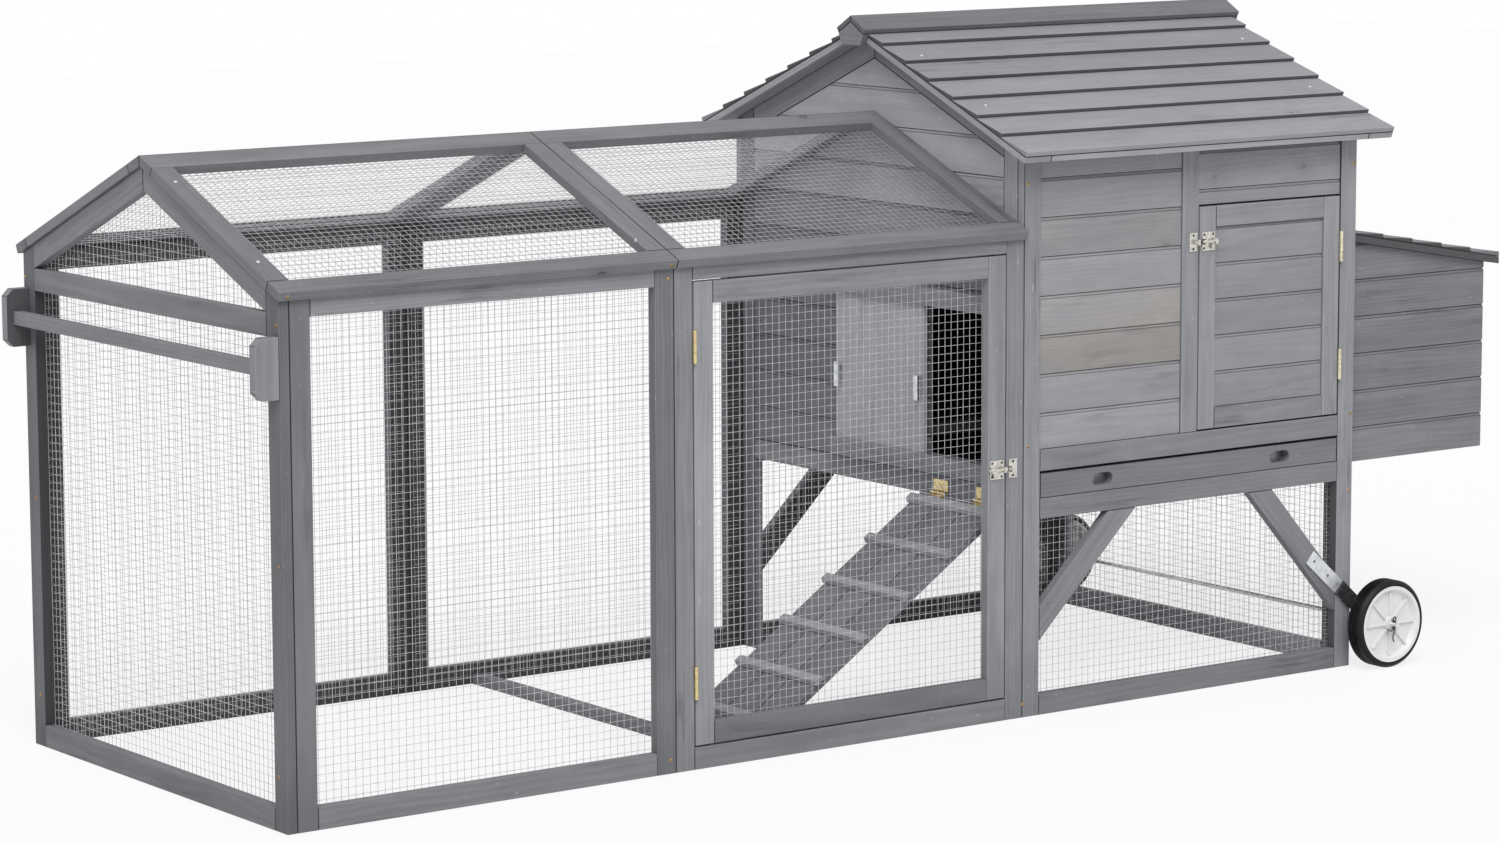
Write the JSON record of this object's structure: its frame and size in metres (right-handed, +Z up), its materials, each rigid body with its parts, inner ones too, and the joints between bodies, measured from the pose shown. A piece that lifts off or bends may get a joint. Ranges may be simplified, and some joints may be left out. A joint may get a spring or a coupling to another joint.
{
  "type": "chicken tractor",
  "caption": "Movable wooden chicken coop: gabled mesh run with a door and handle, raised house with ramp, tray and shingled roof, lidded nest box, and wheels at the house end.",
  "frame": {"origin": "on the ground under the middle of the part", "axes": "+X along the part from the handle to the nest box, +Y from the door side to the back, +Z up"},
  "size_m": [2.51, 0.9362, 1.1325],
  "materials": {
    "stained_wood": "grey stained fir, matt",
    "galvanised_wire": "galvanised",
    "zinc_steel": "zinc plated",
    "dark_steel": "satin black",
    "brass": "brass plated",
    "nickel": "nickel plated",
    "tyre": "matt black",
    "hub_plastic": "moulded"
  },
  "bodies": {
    "frame": {"run_end_frame": "stained_wood", "run_front_panel": "stained_wood", "run_door_surround": "stained_wood", "run_back_panels": "stained_wood", "run_floor_rail": "stained_wood", "run_wall_mesh": "galvanised_wire", "run_roof_frames": "stained_wood", "run_roof_mesh": "galvanised_wire", "handle_plates": "stained_wood", "handle_bar": "stained_wood", "house_front_frame": "stained_wood", "house_front_boards": "stained_wood", "house_back_frame": "stained_wood", "house_back_boards": "stained_wood", "house_gable_frame": "stained_wood", "house_gable_boards": "stained_wood", "house_end_frame": "stained_wood", "house_end_boards": "stained_wood", "house_braces": "stained_wood", "house_lower_mesh": "galvanised_wire", "tray_runners": "stained_wood", "perch": "stained_wood", "pop_door_guides": "stained_wood", "roof_battens": "stained_wood", "roof_front_boards": "stained_wood", "roof_back_boards": "stained_wood", "ridge_boards": "stained_wood", "ridge_end_blocks": "stained_wood", "nest_walls": "stained_wood", "nest_floor": "stained_wood", "wheel_straps": "zinc_steel", "axle_arms": "dark_steel", "axle": "zinc_steel", "axle_washers": "zinc_steel", "axle_pins": "zinc_steel", "hinge_leaves_fixed": "brass", "latch_keepers": "nickel"},
    "run_door": {"run_door_frame": "stained_wood", "run_door_mesh": "galvanised_wire", "run_door_hinges": "brass", "run_latch_plate": "nickel"},
    "run_bolt": {"run_latch_bolt": "nickel"},
    "house_door": {"house_door_frame": "stained_wood", "house_door_boards": "stained_wood", "house_door_hinges": "brass", "house_latch_plate": "nickel"},
    "house_bolt": {"house_latch_bolt": "nickel"},
    "tray": {"tray_front": "stained_wood", "tray_pan": "zinc_steel"},
    "pop_door": {"pop_door": "stained_wood", "pop_door_grips": "zinc_steel"},
    "ramp": {"ramp_plank": "stained_wood", "ramp_cleats": "stained_wood", "ramp_hinges": "brass"},
    "nest_lid": {"nest_lid": "stained_wood", "nest_lid_hinges": "brass"},
    "near_wheel": {"near_tyre": "tyre", "near_hub": "hub_plastic"},
    "far_wheel": {"far_tyre": "tyre", "far_hub": "hub_plastic"}
  },
  "joints": [
    {"name": "run_door_hinge", "type": "hinge", "parent": "frame", "child": "run_door", "pos_m": [-0.4825, -0.3999, 0.4], "axis": [0, 0, -1], "range_deg": [0, 115]},
    {"name": "run_bolt_slide", "type": "slide", "parent": "run_door", "child": "run_bolt", "axis": [1, 0, 0], "range_m": [0, 0.012]},
    {"name": "house_door_hinge", "type": "hinge", "parent": "frame", "child": "house_door", "pos_m": [0.8665, -0.3999, 0.63], "axis": [0, 0, 1], "range_deg": [0, 110]},
    {"name": "house_bolt_slide", "type": "slide", "parent": "house_door", "child": "house_bolt", "axis": [-1, 0, 0], "range_m": [0, 0.012]},
    {"name": "tray_slide", "type": "slide", "parent": "frame", "child": "tray", "axis": [0, -1, 0], "range_m": [0, 0.45]},
    {"name": "pop_door_slide", "type": "slide", "parent": "frame", "child": "pop_door", "axis": [0, -1, 0], "range_m": [0, 0.205]},
    {"name": "ramp_hinge", "type": "hinge", "parent": "frame", "child": "ramp", "pos_m": [0.167, -0.2391, 0.346], "axis": [0, 1, 0], "range_deg": [0, 70]},
    {"name": "nest_lid_hinge", "type": "hinge", "parent": "frame", "child": "nest_lid", "pos_m": [0.909, 0, 0.75405], "axis": [0, -1, 0], "range_deg": [0, 75]},
    {"name": "near_wheel_spin", "type": "hinge", "parent": "frame", "child": "near_wheel", "pos_m": [0.948, -0.4365, 0.076], "axis": [0, 1, 0], "continuous": true},
    {"name": "far_wheel_spin", "type": "hinge", "parent": "frame", "child": "far_wheel", "pos_m": [0.948, 0.4365, 0.076], "axis": [0, 1, 0], "continuous": true}
  ]
}
